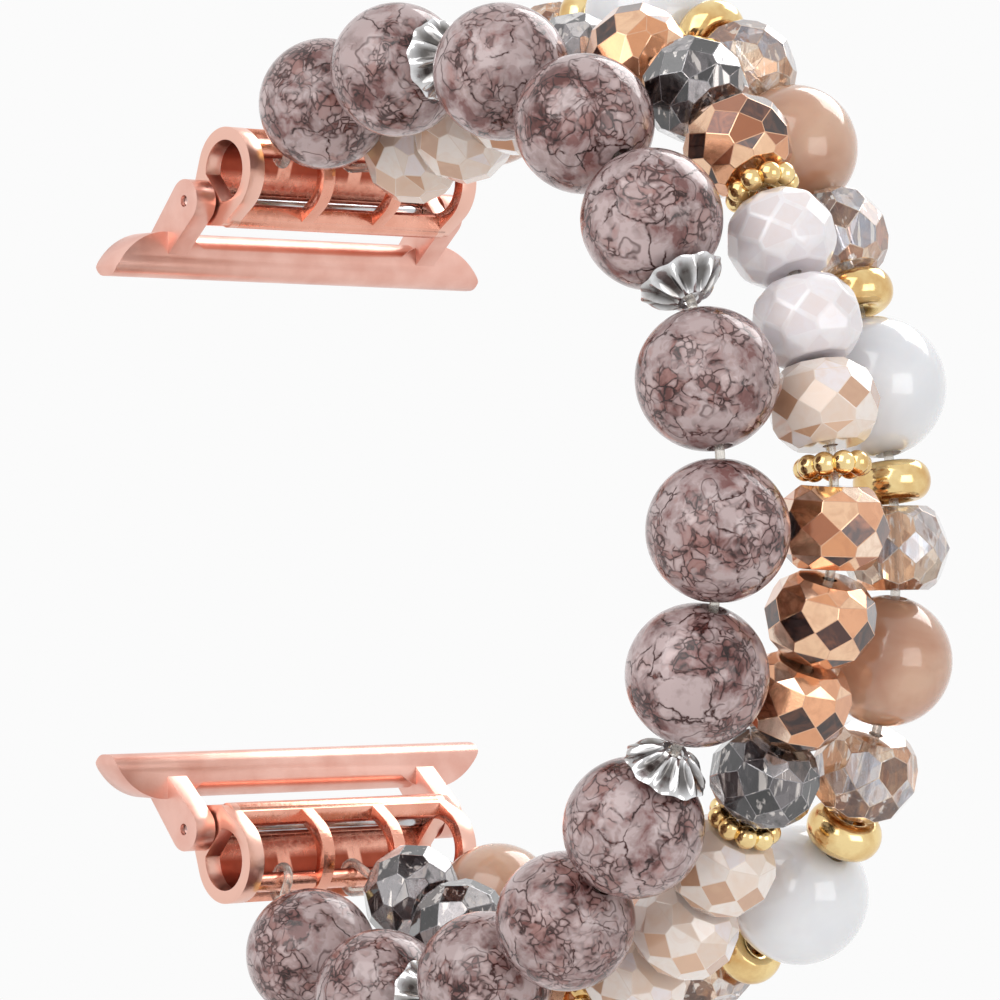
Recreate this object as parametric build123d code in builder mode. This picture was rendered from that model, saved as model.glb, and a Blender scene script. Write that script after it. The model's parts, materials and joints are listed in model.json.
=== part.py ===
import os
from math import acos, atan2, cos, degrees, hypot, pi, sqrt, tan

from build123d import *

# Bead watch band in millimetres: two lugs that slide into a watch case, two cast connector
# frames on spring bars, and three strands of beads on elastic cord between the frames.
# X points from the watch to the far side of the wrist, Y runs along the forearm and Z points
# to twelve o'clock. The origin is midway between the two lug tongues, where the watch sits.

# Lugs: a tongue that slides into the case, and two ears that hold the spring bar
lug_spacing = 40.5  # between the centres of the two tongues
tongue_height = 3.5
tongue_depth = 3.0
tongue_half_length = 18.0
tongue_edge_radius = 1.2
corner_reach = 5.4  # how far the rounded case corner takes back the end of a lug
corner_end_height = 0.7  # height of the lug's end face below the corner's curve
corner_bulge_share = 0.68
ear_inner_y = 11.4
ear_thickness = 1.8
ear_radius = 1.7
ear_root_radius = 1.4
ear_root_rise = 0.6

# Hinge line of the spring bar
pin_x = 3.6
pin_z = 24.3
bar_clearance = 0.05
tube_radius = 0.75
tube_wall = 0.2
tube_end_wall = 0.5
tube_end_gap = 0.3  # between the tube and an ear
tip_radius = 0.38
tip_clearance = 0.07
tip_reach = 1.5  # how deep a tip stands in its ear
tip_head_length = 0.8
tip_head_gap = 0.05
spring_wall = 0.15
spring_gap = 0.05

# Connector frame: an egg-shaped section cast round three bays
side_plate_gap = 0.2  # between a side plate and the ear outside it
side_plate_thickness = 1.4
rib_thickness = 1.1
frame_wall = 0.9
plate_wall = 1.0  # between a side plate's hole and its edge
head_x = 6.1
head_z = 26.6
head_radius = 3.4
boss_radius = 1.8
foot_x = 5.6
foot_z = 23.2
foot_radius = 0.8
foot_bar_radius = 0.95
end_bar_radius = 0.75
end_bar_inset = 0.15  # of the end bar from the outside of the head
end_bar_angle = 45
shell_end_angle = 92
shell_foot_angle = -82
strut_width = 0.75
frame_edge_radius = 0.22

# Cords and crimps
cord_diameter = 0.7
cord_hole_radius = 0.6
cord_bend_radius = 8.0
cord_gap = 0.05  # between a cord and what it goes round or through
crimp_wall = 0.25
crimp_length = 1.1
crimp_gap = 0.45  # between a crimp and the first bead
crimp_mouth = 0.4  # between a crimp and the point where its cord's legs part
leg_bend_radius = 0.8
leg_gap = 0.1  # between the two legs of a cord in its crimp
tail_share = 0.85  # share of a crimp that the cut end fills
corner_room_share = 0.48  # share of a run that an arc at its end may take
loop_corners = 3

# Beads
crackle_diameter = 10.0
peach_diameter = 9.4
white_diameter = 10.2
rondelle_diameter = 8.0
rondelle_length = 5.8
crystal_diameter = 7.8
crystal_length = 6.0
rondelle_end_radius = 2.2
facet_count = 9
belt_tilt = 21
crown_tilt = 52
gold_diameter = 5.6
gold_length = 2.8
gold_end_radius = 1.3
gold_edge_radius = 1.2
daisy_ball_radius = 0.85
daisy_ring_radius = 1.95
daisy_core_radius = 1.55
daisy_core_length = 1.2
daisy_ball_count = 9
cap_rim_radius = 3.3
cap_height = 2.9
cap_collar_radius = 1.15
cap_wall = 0.5
cap_petal_count = 10
cap_notch_radius = 0.42
cap_gap = 0.06
cap_shoulder_share = 0.84
cap_rise_share = 0.6

# Strands
bead_gap = 0.12
flex_gap = 0.3  # added where the band bends or stretches
near_y = -9.6
middle_y = -0.1
far_y = 9.1
near_lead = 3.4  # from the end bar to the first bead
middle_lead = 5.0
far_lead = 3.2
reach_tolerance = 0.001
fit_passes = 3

# Sizes that follow from those above
cord_radius = cord_diameter / 2
tongue_z = lug_spacing / 2
lug_bottom = tongue_z - tongue_height / 2
lug_top = tongue_z + tongue_height / 2
ear_y = ear_inner_y + ear_thickness / 2
plate_y = ear_inner_y - side_plate_gap - side_plate_thickness / 2
bay_pitch = 2 * plate_y / 3
tube_half_length = ear_inner_y - tube_end_gap
tip_hole_radius = tip_radius + tip_clearance
tube_bore_radius = tube_radius - tube_wall
tip_head_radius = tube_bore_radius - tip_head_gap
head_offset = hypot(head_x - pin_x, head_z - pin_z)
end_bar_offset = head_radius - end_bar_radius - end_bar_inset
end_bar = Vector(head_x, 0, head_z) + Vector(end_bar_offset, 0, 0).rotate(Axis.Y, -end_bar_angle)
loop_radius = end_bar_radius + cord_gap + cord_radius
leg_pitch = cord_diameter + leg_gap

os.makedirs("parts", exist_ok=True)


def save(part, name):
    part.label = name
    export_step(part, f"parts/{name}.step")


def save_pair(part, name):
    save(part, f"upper_{name}")
    with BuildPart() as twin:
        mirror(part, about=Plane.XY)
    save(twin.part, f"lower_{name}")


# Lugs
with BuildPart() as lug:
    with BuildSketch(Plane.YZ):
        with BuildLine():
            end_low = (tongue_half_length, lug_bottom)
            end_high = (tongue_half_length, lug_bottom + corner_end_height)
            corner_top = (tongue_half_length - corner_reach, lug_top)
            bulge = (
                tongue_half_length - corner_reach * (1 - corner_bulge_share),
                end_high[1] + (lug_top - end_high[1]) * corner_bulge_share,
            )
            Line((0, lug_bottom), end_low)
            Line(end_low, end_high)
            ThreePointArc(end_high, bulge, corner_top)
            Line(corner_top, (0, lug_top))
            mirror(about=Plane.YZ)
        make_face()
    extrude(amount=tongue_depth / 2, both=True)
    long_edges = lug.edges().filter_by(Axis.Y).group_by(Axis.X)
    fillet(long_edges[0] + long_edges[-1], tongue_edge_radius)
    for side in (-1, 1):
        with BuildSketch(Plane.XZ.offset(side * ear_y)):
            with Locations((pin_x, pin_z)):
                Circle(ear_radius)
            with Locations((0, tongue_z + ear_root_rise)):
                Circle(ear_root_radius)
            make_hull()
        extrude(amount=ear_thickness / 2, both=True)
    with Locations(Plane.XZ):
        with Locations((pin_x, pin_z)):
            Cylinder(tip_hole_radius, 2 * tongue_half_length, mode=Mode.SUBTRACT)
save_pair(lug.part, "lug")

# Spring bars: tube, spring and two tips
with BuildPart(Plane.XZ) as bar_tube:
    with Locations((pin_x, pin_z)):
        Cylinder(tube_radius, 2 * tube_half_length)
        Cylinder(tube_bore_radius, 2 * (tube_half_length - tube_end_wall), mode=Mode.SUBTRACT)
        Cylinder(tip_hole_radius, 2 * tube_half_length, mode=Mode.SUBTRACT)
save_pair(bar_tube.part, "bar_tube")

head_outer_y = tube_half_length - tube_end_wall - spring_gap
head_inner_y = head_outer_y - tip_head_length
tip_end_y = ear_inner_y + tip_reach
spring_radius = tube_bore_radius - spring_gap
with BuildPart(Plane.XZ) as bar_spring:
    with Locations((pin_x, pin_z)):
        Cylinder(spring_radius, 2 * (head_inner_y - spring_gap))
        Cylinder(spring_radius - spring_wall, 2 * head_inner_y, mode=Mode.SUBTRACT)
save_pair(bar_spring.part, "bar_spring")

with BuildPart() as near_tip:
    with BuildSketch(Plane.XZ.offset(head_inner_y)):
        with Locations((pin_x, pin_z)):
            Circle(tip_head_radius)
    extrude(amount=tip_head_length)
    with BuildSketch(Plane.XZ.offset(head_outer_y)):
        with Locations((pin_x, pin_z)):
            Circle(tip_radius)
    extrude(amount=tip_end_y - head_outer_y)
    chamfer(near_tip.faces().sort_by(Axis.Y)[0].edges(), tip_clearance)
save_pair(near_tip.part, "bar_tip_near")
with BuildPart() as far_tip:
    mirror(near_tip.part, about=Plane.XZ)
save_pair(far_tip.part, "bar_tip_far")

# Connector frame: every section starts as a hull round the head, the pin boss and the foot
with BuildSketch() as outline:
    with Locations((head_x, head_z)):
        Circle(head_radius)
    with Locations((pin_x, pin_z)):
        Circle(boss_radius)
    with Locations((foot_x, foot_z)):
        Circle(foot_radius)
    make_hull()
with BuildSketch() as ring:
    add(outline.sketch)
    offset(outline.sketch, amount=-frame_wall, mode=Mode.SUBTRACT)

head_centre = Vector(head_x, head_z)
window_reach = Vector(2 * head_radius, 0)
with BuildSketch() as shell:
    add(ring.sketch)
    with BuildLine():
        Polyline(
            head_centre,
            head_centre + window_reach.rotate(Axis.Z, shell_foot_angle),
            head_centre + window_reach,
            head_centre + window_reach.rotate(Axis.Z, shell_end_angle),
            close=True,
        )
    make_face(mode=Mode.SUBTRACT)

strut_edge = tube_radius + bar_clearance + strut_width
hole_size = 2 * head_radius
head_turn = degrees(atan2(head_z - pin_z, head_x - pin_x))
with BuildSketch() as plate_hole:
    with Locations((head_offset, 0)):
        Circle(head_radius - plate_wall)
    with Locations((strut_edge + hole_size / 2, 0)):
        Rectangle(hole_size, hole_size, mode=Mode.INTERSECT)
    fillet(plate_hole.vertices(), frame_edge_radius)
with BuildSketch() as side_plate:
    add(outline.sketch)
    with Locations((pin_x, pin_z)):
        Circle(tube_radius + bar_clearance, mode=Mode.SUBTRACT)
    with Locations(Location((pin_x, pin_z), head_turn)):
        add(plate_hole.sketch, mode=Mode.SUBTRACT)

with BuildPart() as frame:
    with BuildSketch(Plane.XZ):
        add(shell.sketch)
    extrude(amount=plate_y - side_plate_thickness / 2, both=True)
    with Locations(Plane.XZ):
        with Locations((end_bar.X, end_bar.Z)):
            Cylinder(end_bar_radius, 2 * plate_y)
        with Locations((foot_x, foot_z)):
            Cylinder(foot_bar_radius, 2 * plate_y)
    for side in (-1, 1):
        with BuildSketch(Plane.XZ.offset(side * bay_pitch / 2)):
            add(ring.sketch)
        extrude(amount=rib_thickness / 2, both=True)
        with BuildSketch(Plane.XZ.offset(side * plate_y)):
            add(side_plate.sketch)
        extrude(amount=side_plate_thickness / 2, both=True)
save_pair(frame.part, "connector_frame")


# Beads: each kind is made once, round the origin with its hole along Z
def round_bead(diameter):
    with BuildPart() as bead:
        Sphere(diameter / 2)
        Cylinder(cord_hole_radius, diameter, mode=Mode.SUBTRACT)
    return bead.part


def faceted_bead(diameter, length):
    belt = (diameter / 2 * cos(pi / (2 * facet_count)), 0, belt_tilt)
    crown = (rondelle_end_radius, length / 2, crown_tilt)
    with BuildPart() as bead:
        Cylinder(diameter, length)
        for (radius, height, tilt), end in ((belt, 1), (belt, -1), (crown, 1), (crown, -1)):
            staggered = (end > 0) == (height > 0)
            for facet in range(facet_count):
                turn = 360 / facet_count * (facet + staggered / 2)
                facing = Vector(1, 0, 0).rotate(Axis.Y, -end * tilt).rotate(Axis.Z, turn)
                middle = Vector(radius, 0, end * height).rotate(Axis.Z, turn)
                split(bisect_by=Plane(origin=middle, z_dir=facing), keep=Keep.BOTTOM)
        Cylinder(cord_hole_radius, length, mode=Mode.SUBTRACT)
    return bead.part


with BuildPart() as gold_bead:
    Cylinder(gold_diameter / 2, gold_length)
    fillet(gold_bead.edges().filter_by(GeomType.CIRCLE), gold_edge_radius)
    Cylinder(cord_hole_radius, gold_length, mode=Mode.SUBTRACT)

with BuildPart() as daisy:
    Cylinder(daisy_core_radius, daisy_core_length)
    with PolarLocations(daisy_ring_radius, daisy_ball_count):
        Sphere(daisy_ball_radius)
    Cylinder(cord_hole_radius, 2 * daisy_ball_radius, mode=Mode.SUBTRACT)

# A flower cap stands with its rim at Z = 0 and its crown up
cap_rim_bore = cap_rim_radius - cap_wall
with BuildPart() as cap:
    with BuildSketch(Plane.XZ):
        with BuildLine():
            shoulder = (cap_rim_radius * cap_shoulder_share, cap_height * cap_rise_share)
            ThreePointArc((cap_rim_radius, 0), shoulder, (cap_collar_radius, cap_height))
            Line((cap_collar_radius, cap_height), (cord_hole_radius, cap_height))
            Line((cord_hole_radius, cap_height), (cord_hole_radius, cap_height - cap_wall))
            hollow_top = (cap_collar_radius, cap_height - cap_wall)
            hollow_side = (
                cap_rim_bore * cap_shoulder_share,
                (cap_height - cap_wall) * cap_rise_share,
            )
            Line((cord_hole_radius, cap_height - cap_wall), hollow_top)
            ThreePointArc(hollow_top, hollow_side, (cap_rim_bore, 0))
            Line((cap_rim_bore, 0), (cap_rim_radius, 0))
        make_face()
    revolve(axis=Axis.Z)
    with PolarLocations(cap_rim_radius, cap_petal_count):
        Cylinder(cap_notch_radius, cap_rim_radius, rotation=(0, 90, 0), mode=Mode.SUBTRACT)

crackle_radius = crackle_diameter / 2
cap_seat = sqrt((crackle_radius + cap_gap) ** 2 - cap_rim_bore**2)
cap_stand = cap_seat + cap_height - crackle_radius

rondelle = faceted_bead(rondelle_diameter, rondelle_length)
crystal = faceted_bead(crystal_diameter, crystal_length)
beads = {
    "crackle": round_bead(crackle_diameter),
    "peach": round_bead(peach_diameter),
    "white": round_bead(white_diameter),
    "ivory": rondelle,
    "copper": rondelle,
    "smoke": rondelle,
    "milky": rondelle,
    "crystal": crystal,
    "gold": gold_bead.part,
    "daisy": daisy.part,
    "cap": cap.part,
}
lengths = {
    "crackle": crackle_diameter,
    "peach": peach_diameter,
    "white": white_diameter,
    "ivory": rondelle_length,
    "copper": rondelle_length,
    "smoke": rondelle_length,
    "milky": rondelle_length,
    "crystal": crystal_length,
    "gold": gold_length,
    "daisy": 2 * daisy_ball_radius,
    "cap": cap_stand,
}
end_radii = {
    "crackle": cord_hole_radius,
    "peach": cord_hole_radius,
    "white": cord_hole_radius,
    "crystal": rondelle_end_radius,
    "gold": gold_end_radius,
    "daisy": daisy_ring_radius,
    "cap": cap_collar_radius,
}

# What hangs on each cord from the upper end to the lower, in the four stretches between which
# the band bends or stretches. A cap sits on the bead it is named with.
near_beads = {
    "upper": ["crackle", "crackle cap", "crackle", "crackle", "crackle cap"],
    "mid_upper": ["crackle"],
    "mid_lower": ["crackle", "crackle"],
    "lower": ["cap crackle", "crackle", "crackle", "cap crackle", "crackle"],
}
middle_beads = {
    "upper": "ivory ivory ivory daisy smoke copper smoke copper daisy milky".split(),
    "mid_upper": "milky ivory".split(),
    "mid_lower": "daisy copper copper copper".split(),
    "lower": "smoke daisy ivory ivory ivory daisy copper copper smoke smoke".split(),
}
far_beads = {
    "upper": "peach crystal gold white gold crystal peach crystal gold".split(),
    "mid_upper": ["white"],
    "mid_lower": "gold crystal peach".split(),
    "lower": "crystal gold white gold crystal peach crystal peach".split(),
}

# Each strand's line from bar to bar: shares of the band's reach out from the end bar, of the
# way out from its bay's middle to its own plane, and of the reach again, up or down
near_route_shares = [
    (0.246, 0.95, 0.612),
    (0.506, 1.0, 0.615),
    (0.747, 1.0, 0.509),
    (0.933, 1.0, 0.289),
    (1.0, 1.0, -0.002),
    (0.917, 1.0, -0.298),
    (0.711, 1.0, -0.531),
    (0.452, 1.0, -0.659),
    (0.169, 0.95, -0.662),
]
middle_route_shares = [
    (0.159, 1.0, 0.508),
    (0.299, 1.0, 0.543),
    (0.437, 1.0, 0.590),
    (0.556, 1.0, 0.617),
    (0.671, 1.0, 0.599),
    (0.779, 1.0, 0.521),
    (0.902, 1.0, 0.353),
    (0.984, 1.0, 0.119),
    (1.0, 1.0, -0.018),
    (0.941, 1.0, -0.216),
    (0.785, 1.0, -0.460),
    (0.619, 1.0, -0.621),
    (0.434, 1.0, -0.651),
    (0.223, 1.0, -0.563),
]
far_route_shares = [
    (0.151, 0.95, 0.636),
    (0.312, 1.0, 0.720),
    (0.484, 1.0, 0.747),
    (0.632, 1.0, 0.683),
    (0.786, 1.0, 0.533),
    (0.899, 1.0, 0.349),
    (0.98, 1.0, 0.105),
    (1.0, 1.0, -0.050),
    (0.98, 1.0, -0.236),
    (0.9, 1.0, -0.438),
    (0.776, 1.0, -0.578),
    (0.6, 1.0, -0.649),
    (0.376, 1.0, -0.649),
    (0.167, 0.97, -0.595),
]


def pitches_of(units, breaks, turns):
    # The length of cord that each unit takes up, and how much of it lies ahead of the unit
    pitches, aheads = [], []
    for place, unit in enumerate(units):
        words = unit.split()
        spaces = [0, 0]
        for end, word in ((0, words[0]), (1, words[-1])):
            if 0 < place + end < len(units):
                lean = end_radii.get(word, rondelle_end_radius) * tan(turns[place + end] / 2)
                spaces[end] = bead_gap / 2 + lean + flex_gap / 2 * (place + end in breaks)
        pitches.append(sum(spaces) + sum(lengths[word] for word in words))
        aheads.append(spaces[0])
    return pitches, aheads


def turns_of(points):
    # The angle by which the strand turns where each unit meets the one before it
    turns = [0]
    for before, here, after in zip(points, points[1:], points[2:]):
        turns.append((here - before).get_angle(after - here) * pi / 180)
    return turns


def strand_curve(route_shares, reach, bay_y, strand_y):
    points = [(end_bar.X, bay_y, end_bar.Z)]
    for out_share, spread_share, height_share in route_shares:
        across = bay_y + (strand_y - bay_y) * spread_share
        points.append((end_bar.X + reach * out_share, across, reach * height_share))
    points.append((end_bar.X, bay_y, -end_bar.Z))
    return Spline(*points)


def walk(curve, chords):
    # Points on the curve, each a straight chord from the last, or none past the curve's end
    place, points = 0, []
    for chord in chords:
        start = curve @ place
        step = chord / curve.length
        for _ in range(5):
            if place + step > 1:
                return None
            step *= chord / (curve @ (place + step) - start).length
        place += step
        points.append(curve @ place)
    return points


def fit_strand(route_shares, bay_y, strand_y, lead, pitches):
    # The band reaches out just as far as its beads fill the cord
    short, long = sum(pitches) / 5, sum(pitches) / 2
    while long - short > reach_tolerance:
        reach = (short + long) / 2
        points = walk(strand_curve(route_shares, reach, bay_y, strand_y), [lead] + pitches)
        lower_end = Vector(end_bar.X, bay_y, -end_bar.Z)
        if points is None or (points[-1] - lower_end).length < lead:
            short = reach
        else:
            long = reach
            fitted = points
    return fitted, reach


def loop_points(bar_end, first, lead):
    # A cord's cut end, its two legs and the turn round the end bar, in that order
    out = (first - bar_end).normalized()
    inward = Vector(0, 1, 0).cross(out).normalized()
    crimp_start = lead - crimp_gap - crimp_length
    parting = crimp_start - crimp_mouth
    opening = atan2(leg_pitch, parting) + acos(loop_radius / hypot(leg_pitch, parting))
    closing = 2 * pi - acos(loop_radius / parting)
    turn = (closing - opening) / loop_corners
    tail = crimp_start + crimp_length * tail_share
    points = [bar_end + out * tail + inward * leg_pitch]
    points.append(bar_end + out * parting + inward * leg_pitch)
    for corner in range(loop_corners):
        spoke = Vector(loop_radius / cos(turn / 2), 0)
        spoke = spoke.rotate(Axis.Z, degrees(opening + turn * (corner + 1 / 2)))
        points.append(bar_end + out * spoke.X + inward * spoke.Y)
    points.append(bar_end + out * parting)
    crimp_plane = Plane(
        origin=bar_end + out * crimp_start + inward * leg_pitch / 2, x_dir=inward, z_dir=out
    )
    return points, crimp_plane


def bend_radii(points):
    # The largest arc at each point that its two runs leave room for, up to what it goes round
    turns = [leg_bend_radius] + [loop_radius] * loop_corners + [leg_bend_radius]
    limits = turns + [cord_bend_radius] * (len(points) - 2 - 2 * len(turns)) + turns
    radii = []
    for before, here, after, limit in zip(points, points[1:], points[2:], limits):
        turn = (here - before).get_angle(after - here)
        run = min((here - before).length, (after - here).length)
        room = run * corner_room_share / tan(turn / 2 * pi / 180)
        radii.append(min(limit, room))
    return radii


def cord(points, name):
    radii = bend_radii(points)
    with BuildLine() as route:
        FilletPolyline(*points, radius=radii)
    path = route.wire()
    with BuildPart() as tube:
        with BuildSketch(Plane(origin=path @ 0, z_dir=path % 0)):
            Circle(cord_radius)
        sweep(path=path)
    section = pi * cord_radius**2
    print(name, "length", round(path.length, 1), "tightest bend", round(min(radii), 2))
    print(name, "volume over section times length", round(tube.part.volume / section / path.length, 4))
    save(tube.part, name)


def crimp(plane):
    with BuildPart() as sleeve:
        with BuildSketch(plane):
            SlotCenterToCenter(leg_pitch, cord_diameter + 2 * (cord_gap + crimp_wall))
            SlotCenterToCenter(leg_pitch, cord_diameter + 2 * cord_gap, mode=Mode.SUBTRACT)
        extrude(amount=crimp_length)
    return sleeve.part


def save_group(part, places, name):
    with BuildPart() as group:
        with Locations(*places):
            add(part)
    save(group.part, name)


stretches = ["upper", "mid_upper", "mid_lower", "lower"]
single_nodes = {"crackle": "near_bead", "peach": "peach_bead", "white": "white_bead"}
group_nodes = {
    "ivory": "ivory_beads",
    "copper": "copper_beads",
    "smoke": "smoke_beads",
    "milky": "milky_beads",
    "crystal": "far_crystals",
    "gold": "gold_rondelles",
    "daisy": "daisy_spacers",
    "cap": "silver_caps",
}
counts = {kind: 0 for kind in single_nodes}
groups = {}
flex_points = {place: [] for place in range(1, 4)}
crimps = {"upper": [], "lower": []}
strands = {
    "near": (near_beads, near_route_shares, -bay_pitch, near_y, near_lead),
    "middle": (middle_beads, middle_route_shares, 0, middle_y, middle_lead),
    "far": (far_beads, far_route_shares, bay_pitch, far_y, far_lead),
}
for strand, (bead_sets, route_shares, bay_y, strand_y, lead) in strands.items():
    units = [unit for stretch in stretches for unit in bead_sets[stretch]]
    owners = [stretch for stretch in stretches for _ in bead_sets[stretch]]
    breaks = [place for place in range(1, len(units)) if owners[place] != owners[place - 1]]
    turns = [0] * len(units)
    for _ in range(fit_passes):
        pitches, aheads = pitches_of(units, breaks, turns)
        points, reach = fit_strand(route_shares, bay_y, strand_y, lead, pitches)
        turns = turns_of(points)
    print(strand, "strand reach", round(reach, 3), "cord taken by beads", round(sum(pitches), 2))

    for place, (unit, owner) in enumerate(zip(units, owners)):
        words = unit.split()
        along = (points[place + 1] - points[place]).normalized()
        start = points[place] + along * aheads[place]
        if words[0] == "cap":
            start += along * cap_stand
        for word in words:
            centre = start + along * lengths[words[-1] if words[0] == "cap" else words[0]] / 2
            if word == "cap":
                crown = along * (-1 if words[0] == "cap" else 1)
                plane = Plane(origin=centre + crown * cap_seat, z_dir=crown)
            else:
                plane = Plane(origin=centre, z_dir=along)
            if word in single_nodes:
                counts[word] += 1
                name = f"{single_nodes[word]}_{counts[word]:02d}"
                save_group(beads[word], [plane.location], name)
                print("spin", name, owner, *(round(v, 5) for v in (*centre, *along)))
            else:
                groups.setdefault((word, owner), []).append(plane.location)
    for number, place in enumerate(breaks, start=1):
        flex_points[number].append((points[place], points[place + 1] - points[place - 1]))

    upper_end = Vector(end_bar.X, bay_y, end_bar.Z)
    lower_end = Vector(end_bar.X, bay_y, -end_bar.Z)
    upper_loop, upper_plane = loop_points(upper_end, points[0], lead)
    lower_loop, lower_plane = loop_points(lower_end, points[-1], lead)
    crimps["upper"].append(crimp(upper_plane))
    crimps["lower"].append(crimp(lower_plane))
    cord(upper_loop + points + lower_loop[::-1], f"{strand}_elastic_cord")

for (kind, owner), places in groups.items():
    save_group(beads[kind], places, f"{group_nodes[kind]}_{owner}")
for end, sleeves in crimps.items():
    with BuildPart() as crimp_set:
        add(sleeves)
    save(crimp_set.part, f"{end}_crimps")

for number, found in flex_points.items():
    middle = sum((point for point, _ in found), Vector()) / len(found)
    heading = sum((way.normalized() for _, way in found), Vector())
    heading = Vector(heading.X, 0, heading.Z).normalized()
    print("flex", number, *(round(v, 5) for v in (middle.X, middle.Z, heading.X, heading.Z)))
print("pin", pin_x, pin_z, "end bar", round(end_bar.X, 5), round(end_bar.Z, 5))
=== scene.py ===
import json
import math
import random
import bmesh
import bpy
from mathutils import Matrix, Vector

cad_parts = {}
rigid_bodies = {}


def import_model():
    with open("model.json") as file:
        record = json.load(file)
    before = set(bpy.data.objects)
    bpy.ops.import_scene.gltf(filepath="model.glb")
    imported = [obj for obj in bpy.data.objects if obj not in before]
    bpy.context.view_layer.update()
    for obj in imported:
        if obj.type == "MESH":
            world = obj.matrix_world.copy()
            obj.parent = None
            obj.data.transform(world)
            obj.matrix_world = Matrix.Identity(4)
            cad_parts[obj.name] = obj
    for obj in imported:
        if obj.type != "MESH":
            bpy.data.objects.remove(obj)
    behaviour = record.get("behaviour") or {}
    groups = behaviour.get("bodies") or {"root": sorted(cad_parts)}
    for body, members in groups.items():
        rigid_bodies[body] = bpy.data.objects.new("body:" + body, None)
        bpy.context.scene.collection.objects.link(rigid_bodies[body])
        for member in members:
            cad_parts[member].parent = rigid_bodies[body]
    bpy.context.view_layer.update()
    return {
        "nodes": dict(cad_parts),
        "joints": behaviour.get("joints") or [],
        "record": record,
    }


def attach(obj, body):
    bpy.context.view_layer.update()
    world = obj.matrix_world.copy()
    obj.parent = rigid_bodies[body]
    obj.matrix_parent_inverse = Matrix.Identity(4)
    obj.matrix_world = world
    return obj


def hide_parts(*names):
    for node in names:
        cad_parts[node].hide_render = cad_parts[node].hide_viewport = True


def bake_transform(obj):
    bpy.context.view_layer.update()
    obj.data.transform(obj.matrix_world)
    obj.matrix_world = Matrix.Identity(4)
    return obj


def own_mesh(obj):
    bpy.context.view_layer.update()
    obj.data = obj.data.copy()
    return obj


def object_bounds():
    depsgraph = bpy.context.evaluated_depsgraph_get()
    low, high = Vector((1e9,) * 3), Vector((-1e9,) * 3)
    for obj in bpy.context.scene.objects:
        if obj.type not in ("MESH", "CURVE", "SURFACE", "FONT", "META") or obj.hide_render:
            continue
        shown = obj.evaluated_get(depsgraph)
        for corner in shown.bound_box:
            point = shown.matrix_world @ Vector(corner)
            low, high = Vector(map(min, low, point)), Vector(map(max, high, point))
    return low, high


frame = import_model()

# Bead watch band, in metres: three strands of glass, crystal and plated beads on clear elastic,
# between two rose gold connectors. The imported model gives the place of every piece.
mm = 0.001
weldReach = 0.001 * mm  # corners nearer than this are one
nodes = frame["nodes"]
joints = {joint["name"]: joint for joint in frame["joints"]}
bodyOf = {node: body for body, members in frame["record"]["behaviour"]["bodies"].items() for node in members}
slotOf = {part["node"]: part["material_slot"] for part in frame["record"]["subparts"]}


def linear(hexColour):
    # sRGB hex to the linear colour that Blender's sockets take
    parts = [int(hexColour[place:place + 2], 16) / 255 for place in (1, 3, 5)]
    return tuple(v / 12.92 if v <= 0.04045 else ((v + 0.055) / 1.055) ** 2.4 for v in parts) + (1.0,)


def addNode(tree, kind, inputs=None, **settings):
    # an input, named or numbered, takes a node, a socket, a hex colour or a plain value
    node = tree.nodes.new("ShaderNode" + kind)
    for name, value in settings.items():
        setattr(node, name, value)
    for name, value in (inputs or {}).items():
        if isinstance(value, bpy.types.Node):
            value = next(output for output in value.outputs if output.enabled)
        if isinstance(value, bpy.types.NodeSocket):
            tree.links.new(value, node.inputs[name])
        else:
            node.inputs[name].default_value = linear(value) if isinstance(value, str) else value
    return node


def newMaterial(name):
    material = bpy.data.materials.new(name)
    material.use_nodes = True
    material.node_tree.nodes.clear()
    return material, material.node_tree


def paintRamp(ramp, stops, interpolation="LINEAR"):
    # stops are (place, hex colour) pairs in order
    elements = ramp.color_ramp.elements
    ramp.color_ramp.interpolation = interpolation
    while len(elements) < len(stops):
        elements.new(0.5)
    for element, (place, colour) in zip(elements, stops):
        element.position = place
        element.color = linear(colour)
    return ramp


def millimetres(tree):
    # Object coordinates counted in millimetres, so that each scale below is one over a real size
    place = addNode(tree, "TexCoord").outputs["Object"]
    return addNode(tree, "Mapping", {"Vector": place, "Scale": (1 / mm, 1 / mm, 1 / mm)})


print("stage: materials")

# Crackle glass: a smoky mauve glass bead, quenched so that it cracks inside and dyed in the
# cracks, then flame polished. Large plates meet crowds of small round cells, all under a clear skin.
crackleSettings = {
    "clear": "#E2D1D0", "cloudy": "#B3A19F", "rosy": "#CDA8A3", "vein": "#38100A", "stain": "#5E332E",
    "halo": "#8A5650", "paleCell": "#F0DCDA", "darkCell": "#A87F78", "wash": "#804F4A", "skin": "#F1E7E7",
    "plateSize": 3.4, "ringSize": 3.0, "bubbleSize": 0.95, "fineSize": 0.5, "crackDepth": 0.05,  # mm
    "veinLine": (0.008, 0.036), "ringLine": 0.03, "bubbleLine": 0.11, "fineLine": 0.22,  # shares of those sizes
    "sweep": (0.45, 1.8), "jag": (2.4, 0.4), "fray": (2.0, 0.22),  # waves per mm and reach in mm of the wander
    "clearShare": 0.36,
}


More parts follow.
